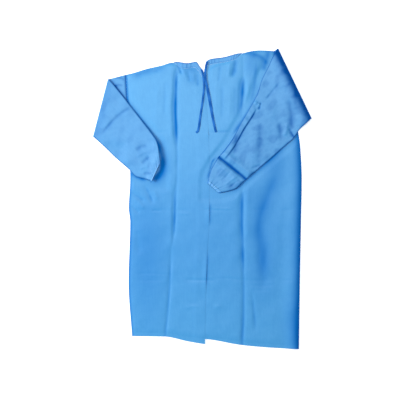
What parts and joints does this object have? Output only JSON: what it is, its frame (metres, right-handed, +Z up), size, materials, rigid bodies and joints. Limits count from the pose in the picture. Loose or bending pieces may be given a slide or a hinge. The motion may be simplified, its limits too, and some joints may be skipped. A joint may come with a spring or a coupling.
{
  "type": "surgical gown",
  "caption": "Long-sleeved disposable surgical gown laid flat with its open back up, sleeves folded in over the body, bound neck with ties and gathered elastic cuffs.",
  "frame": {"origin": "middle of the gown's outline, on the surface that it lies on", "axes": "+X to the right and +Y from the hem to the neck as the gown lies back up, +Z up from the surface"},
  "size_m": [0.9427, 1.2954, 0.0207],
  "materials": {
    "gown_cloth": "matte",
    "cuff_cloth": "matte",
    "binding_cloth": "matte",
    "tie_cloth": "matte"
  },
  "bodies": {
    "root": {"front_panel": "gown_cloth", "back_panel_left": "gown_cloth", "back_panel_right": "gown_cloth", "sleeve_left": "gown_cloth", "sleeve_right": "gown_cloth", "cuff_left": "cuff_cloth", "cuff_right": "cuff_cloth", "neck_binding_left": "binding_cloth", "neck_binding_right": "binding_cloth", "neck_binding_front": "binding_cloth", "neck_tie_left": "tie_cloth", "neck_tie_right": "tie_cloth"}
  },
  "joints": []
}
